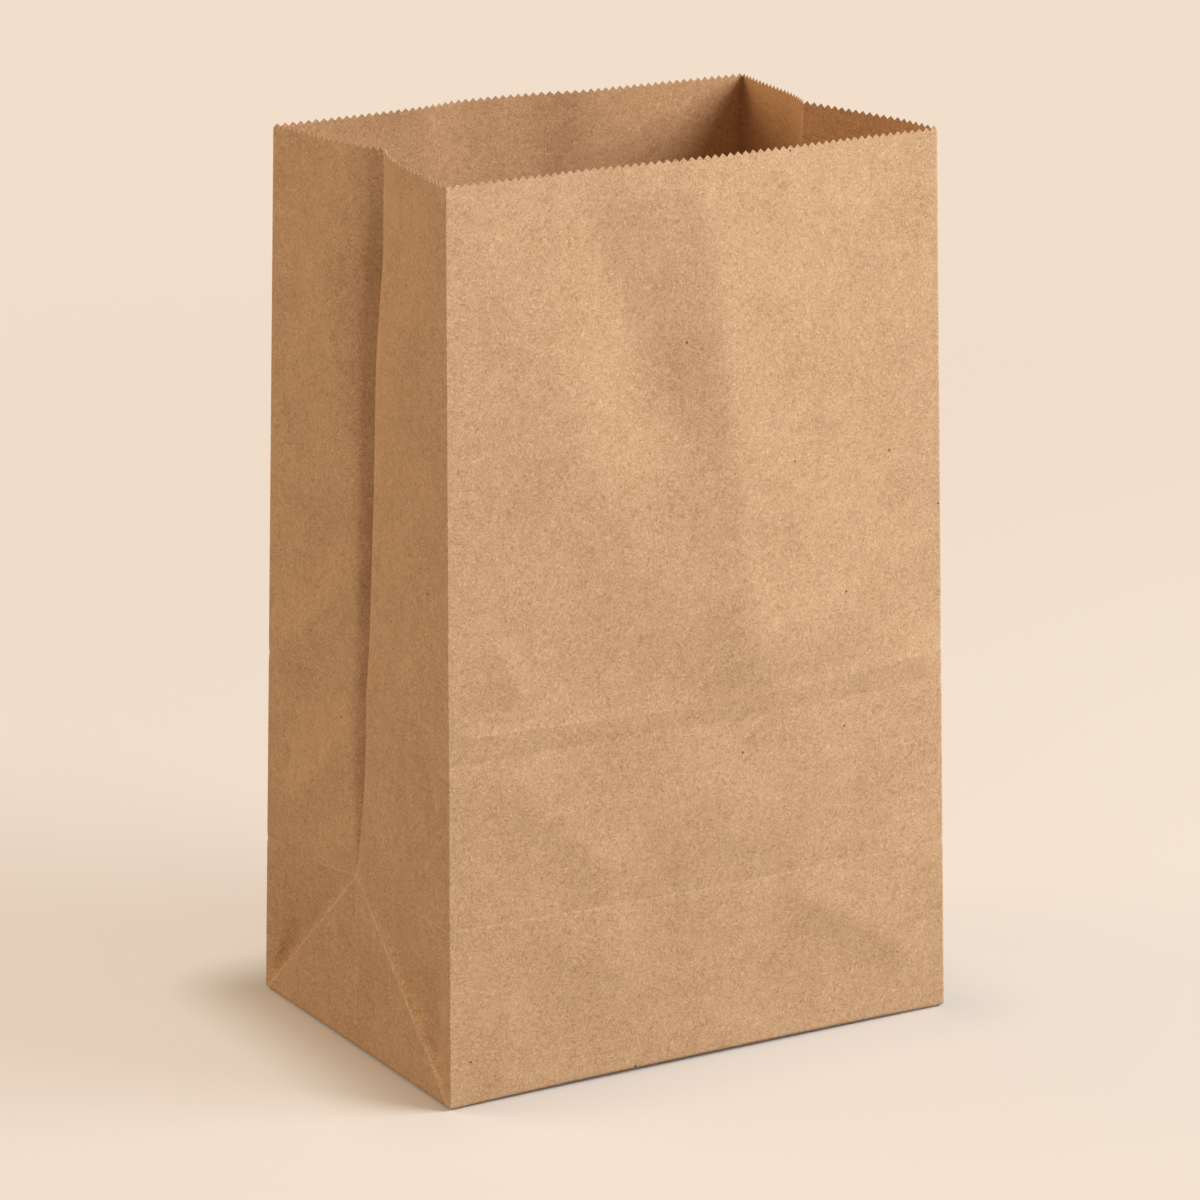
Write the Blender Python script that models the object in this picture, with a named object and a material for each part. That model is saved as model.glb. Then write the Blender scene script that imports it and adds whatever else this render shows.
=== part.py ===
"""Brown paper lunch bag, standing open.

The bag is made as the real one is: a flat kraft blank is creased, folded round into a sleeve with a
gusset tucked into each side, cut with teeth along its mouth, glued along a lap on the back, and
closed underneath by flaps that are folded over each other. All lengths are in metres, +Z is up, and
the origin is on the floor under the middle of the base. The front panel faces -Y.
"""

import math

import bmesh
import bpy
from mathutils import Vector

MM = 0.001

# The folded size of the bag, and one sheet of its paper
WIDTH = 152 * MM
DEPTH = 95 * MM
HEIGHT = 235 * MM
PAPER = 0.15 * MM

# The cut of the mouth
TOOTH_PITCH = 2.4 * MM
TOOTH_DEPTH = 1.0 * MM
TOOTH_STRIP = 5.0 * MM

# The glued lap up the back panel, and the flaps that close the base
LAP_WIDTH = 19 * MM
LAP_FROM_LEFT = 57 * MM
FLAP_OVERLAP = 16 * MM
BASE_FOLD_RADIUS = 0.9 * MM

# How finely the blank is divided: finer along the panels whose folds are looked at most
FINE_CELL = 4.8 * MM
COARSE_CELL = 9.6 * MM
ROW_PITCH = 10 * MM

# How far each corner stands from its place in a perfectly square bag, as (x, y)
FOOT_SHIFT = {
    "front_left": (2.0 * MM, -1.0 * MM),
    "front_right": (0.2 * MM, -1.3 * MM),
    "back_right": (-0.3 * MM, 0.4 * MM),
    "back_left": (-0.2 * MM, 1.3 * MM),
}
MOUTH_SHIFT = {
    "front_left": (-2.3 * MM, -2.7 * MM),
    "front_right": (-4.2 * MM, 11.3 * MM),
    "back_right": (-4.7 * MM, 6.4 * MM),
    "back_left": (-1.8 * MM, -8.1 * MM),
}

# How far the middle fold of a gusset is tucked in at its apex, at the pressed band and at the mouth,
# how far it leans along the bag's depth at the mouth, and how much deeper it sinks between its two ends
APEX_TUCK = 0.6 * MM
BAND_TUCK = {"left": 3.3 * MM, "right": 6.0 * MM}
MOUTH_TUCK = {"left": 6.0 * MM, "right": 13.6 * MM}
MOUTH_LEAN = {"left": -5.4 * MM, "right": 10.6 * MM}
SINK = 3.3 * MM
SINK_LEAN = 1.5 * MM
SINK_BLUNTNESS = 0.7

# The belly of the wide panels; the back is pushed out further at its mouth, where the lap stiffens it
FRONT_BELLY = 2.6 * MM
FRONT_BELLY_SKEW = 1.3
BELLY_LOWERING = 0.8
BACK_BELLY = 2.6 * MM
BACK_MOUTH_BOW = 1.0 * MM
BACK_MOUTH_SKEW = 0.9
LAP_BULGE = 3.6 * MM
LAP_BULGE_PLACE = 0.53
LAP_BULGE_SPREAD = 0.14

# The near half of a gusset runs nearly straight, then rolls in to the middle fold. The far half bellies.
NEAR_ROLL = {"left": 3.9 * MM, "right": 3.0 * MM}
NEAR_MOUTH_ROLL = {"left": 2.5 * MM, "right": 1.9 * MM}
ROLL_START = 0.84
MOUTH_ROLL_START = {"left": 0.71, "right": 0.30}
MOUTH_ROLL_HEIGHT = 60 * MM
FAR_BELLY = 1.5 * MM
FAR_BELLY_SKEW = 2.6
FAR_BELLY_FADE = 30 * MM
EAR_HOLLOW = 1.2 * MM

# The pressed band a whole depth above the floor, and the crease half a depth above it
BAND_RIDGE = 0.6 * MM
BAND_BELOW = 4.3 * MM
BAND_ABOVE = 2.0 * MM
BAND_FADE = 9.0 * MM
BASE_CREASE_DEPTH = 0.5 * MM
BASE_CREASE_FADE = 9.0 * MM

# Soft folds left by handling. Each is a path over its panel, in shares of the panel's width from its left
# and of the bag's height, then how far it stands out, and how far it fades to its left and to its right.
SOFT_FOLDS = {
    "front": [
        ([(0.46, 1.03), (0.53, 0.85), (0.555, 0.66), (0.60, 0.41)], 2.2 * MM, (27 * MM, 52 * MM)),
        ([(0.22, 1.03), (0.33, 0.87), (0.42, 0.75), (0.55, 0.64)], -1.6 * MM, (30 * MM, 16 * MM)),
        ([(0.22, 0.85), (0.27, 0.70), (0.41, 0.55), (0.43, 0.44)], 1.1 * MM, (26 * MM, 22 * MM)),
        ([(0.01, 0.385), (0.16, 0.33), (0.35, 0.21)], 1.2 * MM, (17 * MM, 17 * MM)),
        ([(0.40, 0.37), (0.55, 0.29), (0.59, 0.20)], 0.7 * MM, (20 * MM, 16 * MM)),
        ([(0.66, 0.18), (0.83, 0.12), (0.97, 0.05)], 1.2 * MM, (16 * MM, 13 * MM)),
        ([(0.16, 0.20), (0.26, 0.15), (0.40, 0.09)], 0.8 * MM, (14 * MM, 16 * MM)),
    ],
    "left_near": [
        ([(0.42, 0.92), (0.50, 0.64), (0.42, 0.47)], 0.7 * MM, (18 * MM, 16 * MM)),
    ],
    "left_far": [
        ([(0.64, 1.02), (0.62, 0.85), (0.70, 0.76), (0.85, 0.64), (1.0, 0.57)], 1.3 * MM, (22 * MM, 12 * MM)),
        ([(1.0, 0.57), (0.60, 0.48), (0.0, 0.41)], 1.1 * MM, (12 * MM, 16 * MM)),
        ([(0.96, 0.375), (0.50, 0.28), (0.04, 0.21)], 0.9 * MM, (13 * MM, 15 * MM)),
    ],
    "right_near": [
        ([(0.17, 0.96), (0.42, 0.68), (0.63, 0.51)], 1.2 * MM, (20 * MM, 18 * MM)),
    ],
    "right_far": [
        ([(0.63, 0.98), (0.50, 0.72), (0.21, 0.50)], 1.2 * MM, (18 * MM, 18 * MM)),
    ],
    "back": [
        ([(0.74, 1.03), (0.68, 0.81), (0.63, 0.60), (0.55, 0.42)], 1.8 * MM, (36 * MM, 30 * MM)),
        ([(0.18, 1.0), (0.24, 0.81), (0.34, 0.64)], -1.2 * MM, (20 * MM, 24 * MM)),
        ([(0.97, 0.37), (0.84, 0.31), (0.68, 0.21)], 1.0 * MM, (15 * MM, 15 * MM)),
        ([(0.04, 0.06), (0.16, 0.12), (0.29, 0.17)], 1.0 * MM, (13 * MM, 13 * MM)),
    ],
}
FOLD_SHARPNESS = 1.5
FOLD_END_FADE = 14 * MM

# Paper held by a fold gives way only gradually beside it
EDGE_STIFFNESS = 0.4
SHARP_ANGLE = math.radians(20)

# Points of the flat blank that lie closer than this are one point
SNAP = 0.001 * MM

KRAFT_BROWN = (0.56, 0.36, 0.205, 1.0)
KRAFT_ROUGHNESS = 0.82

# The base is three layers thick: the tucked ears, then the back flap, then the front flap. The folded
# base lies against the flat bag as far up as its own depth, and leaves its two level creases there.
SOLE_HEIGHT = 2 * PAPER
WALL_FOOT = SOLE_HEIGHT + BASE_FOLD_RADIUS
BASE_FOLD_LENGTH = BASE_FOLD_RADIUS * math.pi / 2
APEX_HEIGHT = DEPTH / 2
BAND_FOOT = DEPTH - BAND_BELOW
BAND_TOP = DEPTH + BAND_ABOVE
TEETH_FOOT = HEIGHT - TOOTH_DEPTH

# The panels as they follow each other along the blank, each with its width and the width of its cells
BLANK = [
    ("back_lap", LAP_WIDTH, COARSE_CELL),
    ("back_left", LAP_FROM_LEFT, COARSE_CELL),
    ("left_far", DEPTH / 2, FINE_CELL),
    ("left_near", DEPTH / 2, FINE_CELL),
    ("front", WIDTH, FINE_CELL),
    ("right_near", DEPTH / 2, COARSE_CELL),
    ("right_far", DEPTH / 2, COARSE_CELL),
    ("back_right", WIDTH - LAP_FROM_LEFT - LAP_WIDTH, COARSE_CELL),
]
FOLD_AT_START = ("left_near", "right_far")
FOLD_AT_END = ("left_far", "right_near")


def clear_scene():
    for old in list(bpy.data.objects):
        bpy.data.objects.remove(old, do_unlink=True)


def clamp(value):
    return min(max(value, 0.0), 1.0)


def ease(value):
    value = clamp(value)
    return value * value * (3 - 2 * value)


def arch(across):
    """Nought at both folds of a panel and one halfway between them."""
    return math.sin(math.pi * clamp(across))


def corner(name, height, inset=0.0):
    """A point on one of the four upright folds, which run straight from foot to mouth."""
    side_x = -1 if name.endswith("left") else 1
    side_y = -1 if name.startswith("front") else 1
    rise = height / HEIGHT
    foot, mouth = FOOT_SHIFT[name], MOUTH_SHIFT[name]
    shift_x = foot[0] + (mouth[0] - foot[0]) * rise
    shift_y = foot[1] + (mouth[1] - foot[1]) * rise
    return Vector((side_x * (WIDTH / 2 - inset) + shift_x, side_y * (DEPTH / 2 - inset) + shift_y, height))


def gusset_fold(side, height, inset=0.0):
    """The middle fold of a gusset: upright under the apex, tucked in further and further above it."""
    middle = (corner("front_" + side, height, inset) + corner("back_" + side, height, inset)) / 2
    outward = -1 if side == "left" else 1
    tuck = APEX_TUCK * clamp(height / APEX_HEIGHT)
    tuck += (BAND_TUCK[side] - APEX_TUCK) * clamp((height - APEX_HEIGHT) / (BAND_TOP - APEX_HEIGHT))
    tuck += (MOUTH_TUCK[side] - BAND_TUCK[side]) * clamp((height - BAND_TOP) / (HEIGHT - BAND_TOP))
    climb = clamp((height - APEX_HEIGHT) / (HEIGHT - APEX_HEIGHT))
    sunk = arch(climb) ** SINK_BLUNTNESS
    middle.x += (outward * WIDTH / 2 - middle.x) * climb - outward * (tuck + SINK * sunk)
    middle.y += (MOUTH_LEAN[side] - middle.y) * climb + SINK_LEAN * sunk
    return middle


def between(start, end, across, push):
    """The point part of the way from one fold to the next, pushed out square to the panel."""
    run = end - start
    outward = Vector((run.y, -run.x, 0)).normalized()
    return start + run * across + outward * push


def waist(height):
    """Nought at the floor and at the mouth, one about a third of the way down."""
    return math.sin(math.pi * ease((height / HEIGHT) ** BELLY_LOWERING))


def level_creases(height):
    """The ridge that the folded base presses into every panel, and the valley half a depth up."""
    if height > BAND_TOP:
        ridge = clamp(1 - (height - BAND_TOP) / BAND_FADE)
    else:
        ridge = clamp((height - BAND_FOOT) / (BAND_TOP - BAND_FOOT))
    valley = clamp(1 - abs(height - APEX_HEIGHT) / BASE_CREASE_FADE)
    return BAND_RIDGE * ridge - BASE_CREASE_DEPTH * valley


def to_path(path, x, z):
    """How far a point lies to the right of a path that runs down its panel, and how far inside its ends."""
    nearest = None
    gone = 0.0
    for (x0, z0), (x1, z1) in zip(path, path[1:]):
        run_x, run_z = x1 - x0, z1 - z0
        length = math.hypot(run_x, run_z)
        share = clamp(((x - x0) * run_x + (z - z0) * run_z) / length ** 2)
        off_x, off_z = x - x0 - run_x * share, z - z0 - run_z * share
        distance = math.hypot(off_x, off_z)
        if nearest is None or distance < abs(nearest[0]):
            side = 1 if off_z * run_x > off_x * run_z else -1
            nearest = (side * distance, gone + share * length)
        gone += length
    return nearest[0], min(nearest[1], gone - nearest[1])


def relief(panel, across, width, height):
    """How far the paper stands out at a point of a panel, over its level creases and its soft folds."""
    total = level_creases(height)
    for shares, stands_out, (left_reach, right_reach) in SOFT_FOLDS[panel]:
        path = [(x * width, z * HEIGHT) for x, z in shares]
        aside, inside = to_path(path, across * width, height)
        reach = right_reach if aside > 0 else left_reach
        total += stands_out * clamp(1 - abs(aside) / reach) ** FOLD_SHARPNESS * ease(inside / FOLD_END_FADE)
    return total * arch(across) ** EDGE_STIFFNESS


def near_roll(side, inward, height):
    """The near half of a gusset: straight from its upright fold, then rolled in to the middle fold."""
    at_mouth = ease((height - HEIGHT + MOUTH_ROLL_HEIGHT) / MOUTH_ROLL_HEIGHT)
    start = ROLL_START + (MOUTH_ROLL_START[side] - ROLL_START) * at_mouth
    amount = NEAR_ROLL[side] + (NEAR_MOUTH_ROLL[side] - NEAR_ROLL[side]) * at_mouth
    amount *= clamp((height - APEX_HEIGHT) / (BAND_TOP + APEX_HEIGHT / 2 - APEX_HEIGHT))
    if inward < start:
        return amount * inward / start
    past = (inward - start) / (1 - start)
    return amount * (1 - past ** (2 - at_mouth))


def gusset_push(side, half, inward, height):
    """How far half of a gusset stands out, where inward runs from its upright fold to its middle fold."""
    if half == "near":
        push = near_roll(side, inward, height)
    else:
        # Beside its hard middle fold the far half keeps the steep set that it was pressed to
        climb = ease((height - APEX_HEIGHT) / (HEIGHT - APEX_HEIGHT))
        climb *= ease((HEIGHT - height) / FAR_BELLY_FADE)
        push = FAR_BELLY * climb * arch(inward ** FAR_BELLY_SKEW)
    crease = (height - WALL_FOOT) / (APEX_HEIGHT - WALL_FOOT)
    if 0 < crease < 1 and inward < crease:
        # The ear is hollow between the upright fold and its slanting crease
        push -= EAR_HOLLOW * crease * arch(inward / crease)
    return push


def wall_point(panel, across, height, inset):
    """Where a point of a panel stands; across runs from the panel's left edge, as seen from outside."""
    if panel == "front":
        push = FRONT_BELLY * arch(across ** FRONT_BELLY_SKEW) * waist(height)
        push += relief(panel, across, WIDTH, height)
        left, right = corner("front_left", height, inset), corner("front_right", height, inset)
        return between(left, right, across, push)
    if panel == "back":
        rise = ease(height / HEIGHT)
        push = BACK_BELLY * arch(across) * waist(height)
        push += BACK_MOUTH_BOW * arch(across ** BACK_MOUTH_SKEW) * rise ** 2
        push += LAP_BULGE * math.exp(-((across - LAP_BULGE_PLACE) / LAP_BULGE_SPREAD) ** 4) * rise ** 5
        push += relief(panel, across, WIDTH, height)
        left, right = corner("back_right", height, inset), corner("back_left", height, inset)
        return between(left, right, across, push)
    side, half = panel.split("_")
    outer = corner(("front_" if half == "near" else "back_") + side, height, inset)
    fold = gusset_fold(side, height, inset)
    inward = across if panel in FOLD_AT_END else 1 - across
    push = gusset_push(side, half, inward, height) + relief(panel, across, DEPTH / 2, height)
    if panel in FOLD_AT_END:
        return between(outer, fold, across, push)
    return between(fold, outer, across, push)


def panel_starts():
    start = 0.0
    for panel, width, cell in BLANK:
        yield panel, start, width, cell
        start += width


def folded(along, up):
    """Where a point of the flat blank stands in the folded bag; under the walls it turns into the base."""
    turn = max(WALL_FOOT - up, 0.0) / BASE_FOLD_RADIUS
    inset = BASE_FOLD_RADIUS * (1 - math.cos(turn))
    height = WALL_FOOT - BASE_FOLD_RADIUS * math.sin(turn) if turn > 0 else up
    panel, start, width, _ = next(
        row for row in panel_starts() if along <= row[1] + row[2] + SNAP or row[0] == BLANK[-1][0])
    if not panel.startswith("back"):
        return wall_point(panel, clamp((along - start) / width), height, inset)
    if panel == "back_lap":
        return wall_point("back", 1 - (LAP_FROM_LEFT + start + width - along) / WIDTH, height, inset)
    if panel == "back_left":
        return wall_point("back", clamp(1 - (start + width - along) / WIDTH), height, inset)
    return wall_point("back", clamp((along - start) / WIDTH), height, inset)


def rows():
    """The level rows of the flat blank, from the inner end of the base fold up to the foot of the teeth."""
    levels = [WALL_FOOT - BASE_FOLD_LENGTH, WALL_FOOT - BASE_FOLD_LENGTH / 2]
    marks = [WALL_FOOT, APEX_HEIGHT, BAND_FOOT, BAND_TOP, HEIGHT - TOOTH_STRIP, TEETH_FOOT]
    for start, end in zip(marks, marks[1:]):
        count = max(1, round((end - start) / ROW_PITCH))
        levels.extend(start + (end - start) * step / count for step in range(count))
    return levels + [TEETH_FOOT]


def flat_blank():
    """The blank as a flat grid: a row of edges along its foot, extruded up from level to level."""
    columns = [0.0]
    for _, start, width, cell in panel_starts():
        count = max(2, round(width / cell))
        columns.extend(start + width * step / count for step in range(1, count + 1))
    levels = rows()
    bm = bmesh.new()
    panel_of = bm.faces.layers.int.new("panel")
    foot = [bm.verts.new((along, 0, levels[0])) for along in columns]
    edges = [bm.edges.new(pair) for pair in zip(foot, foot[1:])]
    for below, above in zip(levels, levels[1:]):
        made = bmesh.ops.extrude_edge_only(bm, edges=edges)["geom"]
        verts = [item for item in made if isinstance(item, bmesh.types.BMVert)]
        bmesh.ops.translate(bm, verts=verts, vec=(0, 0, above - below))
        raised = set(verts)
        edges = [item for item in made if isinstance(item, bmesh.types.BMEdge)
                 and raised.issuperset(item.verts)]
    for number, (_, start, width, _) in enumerate(panel_starts()):
        for face in bm.faces:
            if start < face.calc_center_median().x < start + width:
                face[panel_of] = number
    return bm


def cut_across(bm, faces, point, normal):
    """Cut flat faces along a line, and give back all their pieces."""
    geometry = set(faces)
    for face in faces:
        geometry.update(face.edges)
        geometry.update(face.verts)
    cut = bmesh.ops.bisect_plane(bm, geom=list(geometry), dist=SNAP, plane_co=point, plane_no=normal)
    return [item for item in cut["geom"] if isinstance(item, bmesh.types.BMFace)]


def crease_ears(bm):
    """Crease each half gusset along the line that slants from the bag's foot up to the apex."""
    for panel, start, width, _ in panel_starts():
        if panel not in FOLD_AT_START + FOLD_AT_END:
            continue
        rises = panel in FOLD_AT_END
        ear = []
        for face in bm.faces:
            middle = face.calc_center_median()
            if start < middle.x < start + width and WALL_FOOT < middle.z < APEX_HEIGHT:
                ear.append(face)
        foot = Vector((start if rises else start + width, 0, WALL_FOOT))
        cut_across(bm, ear, foot, Vector((APEX_HEIGHT - WALL_FOOT, 0, -width if rises else width)))


def cut_teeth(bm):
    """Cut the mouth with pinking teeth: split each top edge evenly, then lift every other new point."""
    tips = []
    for edge in [e for e in bm.edges if all(vert.co.z > TEETH_FOOT - SNAP for vert in e.verts)]:
        start, end = edge.verts
        parts = 2 * max(1, round(edge.calc_length() / TOOTH_PITCH))
        for step in range(1, parts):
            _, point = bmesh.utils.edge_split(edge, start, 1 / (parts - step + 1))
            if step % 2:
                tips.append(point)
            edge = next(e for e in point.link_edges if end in e.verts)
            start = point
    bmesh.ops.translate(bm, verts=tips, vec=(0, 0, TOOTH_DEPTH))


def fold_sleeve(bm):
    """Stand every point of the blank in its place, and join the blank's two ends."""
    blank_end = sum(width for _, width, _ in BLANK)
    ends = [vert for vert in bm.verts if min(vert.co.x, blank_end - vert.co.x) < SNAP]
    for vert in bm.verts:
        vert.co = folded(vert.co.x, vert.co.z)
    bmesh.ops.remove_doubles(bm, verts=ends, dist=SNAP)


def close_base(bm):
    """Fill the base. The sleeve's facets are split first, so that both faces of the paper share them."""
    bmesh.ops.triangulate(bm, faces=bm.faces[:])
    bottom = [edge for edge in bm.edges if edge.is_boundary and edge.verts[0].co.z < BASE_FOLD_RADIUS]
    bmesh.ops.contextual_create(bm, geom=bottom)
    bmesh.ops.recalc_face_normals(bm, faces=bm.faces[:])


def thicken(bag):
    """Give the sheet its thickness, inwards, and take the result as the bag's own mesh."""
    paper = bag.modifiers.new("paper", "SOLIDIFY")
    paper.thickness = PAPER
    paper.offset = -1
    paper.use_even_offset = True
    evaluated = bag.evaluated_get(bpy.context.evaluated_depsgraph_get())
    solid = bpy.data.meshes.new_from_object(evaluated)
    bag.modifiers.clear()
    bag.data = solid


def raise_layer(bm, faces, direction):
    """Lay one more sheet of paper over some faces."""
    made = bmesh.ops.extrude_face_region(bm, geom=faces)
    bmesh.ops.delete(bm, geom=faces, context="FACES")
    verts = [item for item in made["geom"] if isinstance(item, bmesh.types.BMVert)]
    bmesh.ops.translate(bm, verts=verts, vec=direction * PAPER)
    return [item for item in made["geom"] if isinstance(item, bmesh.types.BMFace)]


def glue_back_lap(bm):
    """The sleeve's two edges overlap on the back, where a second sheet lies over the first."""
    panel_of = bm.faces.layers.int["panel"]
    lap = [panel for panel, _, _ in BLANK].index("back_lap")
    outside = [face for face in bm.faces if face[panel_of] == lap and face.normal.y > 0.5
               and min(vert.co.z for vert in face.verts) > WALL_FOOT - PAPER]
    raise_layer(bm, outside, Vector((0, 1, 0)))


def fold_base_flaps(bm):
    """Fold the back flap and then the front flap over the ears, each cut at 45 degrees at its ends."""
    base = [face for face in bm.faces if face.normal.z < -0.99 and len(face.verts) > 4]
    feet = {name: corner(name, SOLE_HEIGHT, BASE_FOLD_RADIUS) for name in FOOT_SHIFT}
    inwards = {name: Vector((-math.copysign(1, foot.x), -math.copysign(1, foot.y), 0))
               for name, foot in feet.items()}
    for name, foot in feet.items():
        slant = Vector((inwards[name].y, -inwards[name].x, 0))
        base = cut_across(bm, base, foot, slant)
    tip = Vector((0, FLAP_OVERLAP / 2, SOLE_HEIGHT))
    base = cut_across(bm, base, tip, Vector((0, 1, 0)))

    def under_flap(side, face):
        middle = face.calc_center_median()
        if side == "front" and middle.y > tip.y:
            return False
        for name in (side + "_left", side + "_right"):
            away = middle - feet[name]
            if away.x * inwards[name].x < away.y * inwards[name].y:
                return False
        return True

    covered = [face for face in base if under_flap("front", face) or under_flap("back", face)]
    down = Vector((0, 0, -1))
    lowered = raise_layer(bm, covered, down)
    raise_layer(bm, [face for face in lowered if under_flap("front", face)], down)


def kraft_material():
    kraft = bpy.data.materials.new("kraft_paper")
    kraft.use_nodes = True
    shader = kraft.node_tree.nodes["Principled BSDF"]
    shader.inputs["Base Color"].default_value = KRAFT_BROWN
    shader.inputs["Roughness"].default_value = KRAFT_ROUGHNESS
    shader.inputs["Metallic"].default_value = 0.0
    return kraft


def make_bag():
    sheet = bpy.data.meshes.new("paper_bag")
    bag = bpy.data.objects.new("paper_bag", sheet)
    bpy.context.scene.collection.objects.link(bag)

    bm = flat_blank()
    crease_ears(bm)
    cut_teeth(bm)
    fold_sleeve(bm)
    close_base(bm)
    bm.to_mesh(sheet)
    bm.free()

    thicken(bag)

    bm = bmesh.new()
    bm.from_mesh(bag.data)
    glue_back_lap(bm)
    fold_base_flaps(bm)
    bm.to_mesh(bag.data)
    bm.free()

    bag.data.materials.append(kraft_material())
    bag.data.shade_smooth()
    bag.data.set_sharp_from_angle(angle=SHARP_ANGLE)
    return bag


clear_scene()
make_bag()
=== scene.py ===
# %% [markdown]
# # A brown paper lunch bag
#
# The bag is one sheet of kraft paper, folded and glued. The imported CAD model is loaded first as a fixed
# frame. Its solid has the bag's true size and folds, and this lesson makes a finer copy of the same sheet
# with its creases, its wear and its fibres, and shows that copy in its place.

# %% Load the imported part
import math

import bmesh
import bpy
from mathutils import Matrix, Vector


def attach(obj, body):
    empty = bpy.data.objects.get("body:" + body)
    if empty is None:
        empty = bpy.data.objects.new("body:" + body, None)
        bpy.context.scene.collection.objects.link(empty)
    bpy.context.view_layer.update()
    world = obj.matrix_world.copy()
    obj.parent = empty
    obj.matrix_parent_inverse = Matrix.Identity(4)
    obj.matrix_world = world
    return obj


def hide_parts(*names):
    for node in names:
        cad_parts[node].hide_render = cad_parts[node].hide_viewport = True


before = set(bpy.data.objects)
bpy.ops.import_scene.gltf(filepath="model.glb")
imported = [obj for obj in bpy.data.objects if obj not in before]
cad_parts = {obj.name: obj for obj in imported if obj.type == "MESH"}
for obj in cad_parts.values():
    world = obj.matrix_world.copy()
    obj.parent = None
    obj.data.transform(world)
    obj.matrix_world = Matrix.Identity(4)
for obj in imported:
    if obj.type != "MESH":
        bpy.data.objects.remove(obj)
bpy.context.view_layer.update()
MM = 0.001


# %% [markdown]
# ## Sizes
#
# The real bag is 152 mm wide, 95 mm deep and 235 mm tall. A factory cuts all of it from one blank, so the
# blank's own unit is used here: one tooth of the pinked mouth. Sixty-four teeth make the wide panels,
# twenty make half a gusset, and the glued lap is eight teeth wide. Every fold then falls on a tooth.

# %% Sizes of the sheet
TOOTH = 2.375 * MM
WIDE = 64 * TOOTH
HALF_GUSSET = 20 * TOOTH
LAP = 8 * TOOTH
LEFT_OF_LAP = 24 * TOOTH
HEIGHT = 235 * MM
PAPER = 0.15 * MM
TOOTH_DEPTH = 1.0 * MM
SOLE = 2 * PAPER
FOLD_RADIUS = 0.9 * MM
APEX_HEIGHT = HALF_GUSSET
BAND_HEIGHT = 2 * HALF_GUSSET
FLAP_OVERLAP = 16 * MM

# The panels in the order in which they lie on the blank, each with its width
BLANK = [
    ("back", LAP + LEFT_OF_LAP),
    ("left_far", HALF_GUSSET),
    ("left_near", HALF_GUSSET),
    ("front", WIDE),
    ("right_near", HALF_GUSSET),
    ("right_far", HALF_GUSSET),
    ("back", WIDE - LEFT_OF_LAP),
]
BLANK_WIDTH = sum(width for _, width in BLANK)
print("The flat blank is", round(BLANK_WIDTH / MM, 1), "mm wide, or", round(BLANK_WIDTH / TOOTH), "teeth")

# %% [markdown]
# ## Where the folds stand
#
# A bag that has been opened by hand is never quite square. Each upright fold runs straight from its foot to
# its mouth, a few millimetres from its ideal place at either end. The middle fold of each gusset is tucked
# in above the apex, and stays in the plane of the side below it.

# %% The six upright folds
# How far each fold stands from its ideal place at its foot and its mouth, in mm
FOOT_SHIFT = {"front_left": (2.0, -1.0), "front_right": (0.2, -1.3), "back_right": (-0.3, 0.4),
              "back_left": (-0.2, 1.3)}
MOUTH_SHIFT = {"front_left": (-2.3, -2.7), "front_right": (-4.2, 11.3), "back_right": (-4.7, 6.4),
               "back_left": (-1.8, -8.1)}
# How far each middle fold is tucked in, and how far it leans to the back
APEX_TUCK = 0.6 * MM
BAND_TUCK = {"left": 3.3 * MM, "right": 6.0 * MM}
MOUTH_TUCK = {"left": 7.6 * MM, "right": 13.6 * MM}
MOUTH_LEAN = {"left": -1.7 * MM, "right": 10.6 * MM}
MIDDLE_TUCK = 3.1 * MM
MIDDLE_LEAN = 2.2 * MM
TUCK_EASE = 0.75


def clamp(value, low=0.0, high=1.0):
    return min(max(value, low), high)


def ease(value):
    value = clamp(value)
    return value * value * (3 - 2 * value)


def arch(across):
    """Nought at both folds of a panel and one halfway between them."""
    return math.sin(math.pi * clamp(across))


def corner(name, height, inset=0.0):
    side_x = -1 if name.endswith("left") else 1
    side_y = -1 if name.startswith("front") else 1
    rise = height / HEIGHT
    foot, mouth = FOOT_SHIFT[name], MOUTH_SHIFT[name]
    x = side_x * (WIDE / 2 - inset) + (foot[0] + (mouth[0] - foot[0]) * rise) * MM
    y = side_y * (HALF_GUSSET - inset) + (foot[1] + (mouth[1] - foot[1]) * rise) * MM
    return Vector((x, y, height))


def gusset_fold(side, height, inset=0.0):
    middle = (corner("front_" + side, height, inset) + corner("back_" + side, height, inset)) / 2
    outward = -1 if side == "left" else 1
    to_band = clamp((height - APEX_HEIGHT) / (BAND_HEIGHT - APEX_HEIGHT))
    past_band = max((height - BAND_HEIGHT) / (HEIGHT - BAND_HEIGHT), 0.0)
    tuck = APEX_TUCK * min(height / APEX_HEIGHT, 1.0)
    tuck += (BAND_TUCK[side] - APEX_TUCK) * to_band ** TUCK_EASE
    tuck += (MOUTH_TUCK[side] - BAND_TUCK[side]) * past_band
    climb = max((height - APEX_HEIGHT) / (HEIGHT - APEX_HEIGHT), 0.0)
    middle.x += (outward * WIDE / 2 - middle.x) * climb - outward * tuck
    middle.y += (MOUTH_LEAN[side] - middle.y) * climb
    deeper = arch(climb)
    middle.x -= outward * MIDDLE_TUCK * deeper
    middle.y += MIDDLE_LEAN * deeper
    return middle


for side in ("left", "right"):
    point = gusset_fold(side, HEIGHT) / MM
    print("The", side, "gusset's middle fold meets the mouth at", [round(value, 1) for value in point])

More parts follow.
